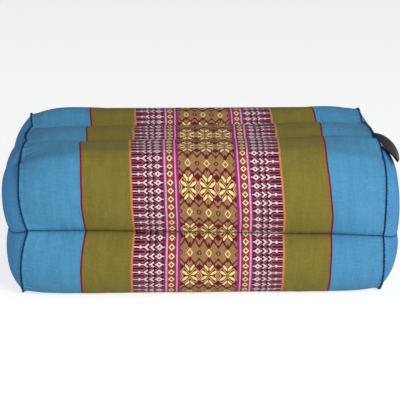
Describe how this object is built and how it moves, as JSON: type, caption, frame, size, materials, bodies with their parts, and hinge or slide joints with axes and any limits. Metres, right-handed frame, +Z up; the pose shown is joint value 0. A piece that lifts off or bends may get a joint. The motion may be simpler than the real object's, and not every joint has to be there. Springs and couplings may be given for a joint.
{
  "type": "meditation cushion",
  "caption": "Firm block cushion in woven cotton, stuffed in two layers of channels, with sewn end panels and a folded ribbon tab.",
  "frame": {"origin": "middle of the flat underside that the cushion rests on", "axes": "+X along the channels towards the end with the tab, +Y from the front face to the back face, +Z up"},
  "size_m": [0.3616, 0.18, 0.1445],
  "materials": {
    "sky_cotton": "plain weave with a patterned band",
    "black_ribbon": "satin ribbon"
  },
  "bodies": {
    "root": {"cushion": "sky_cotton", "tab": "black_ribbon"}
  },
  "joints": []
}
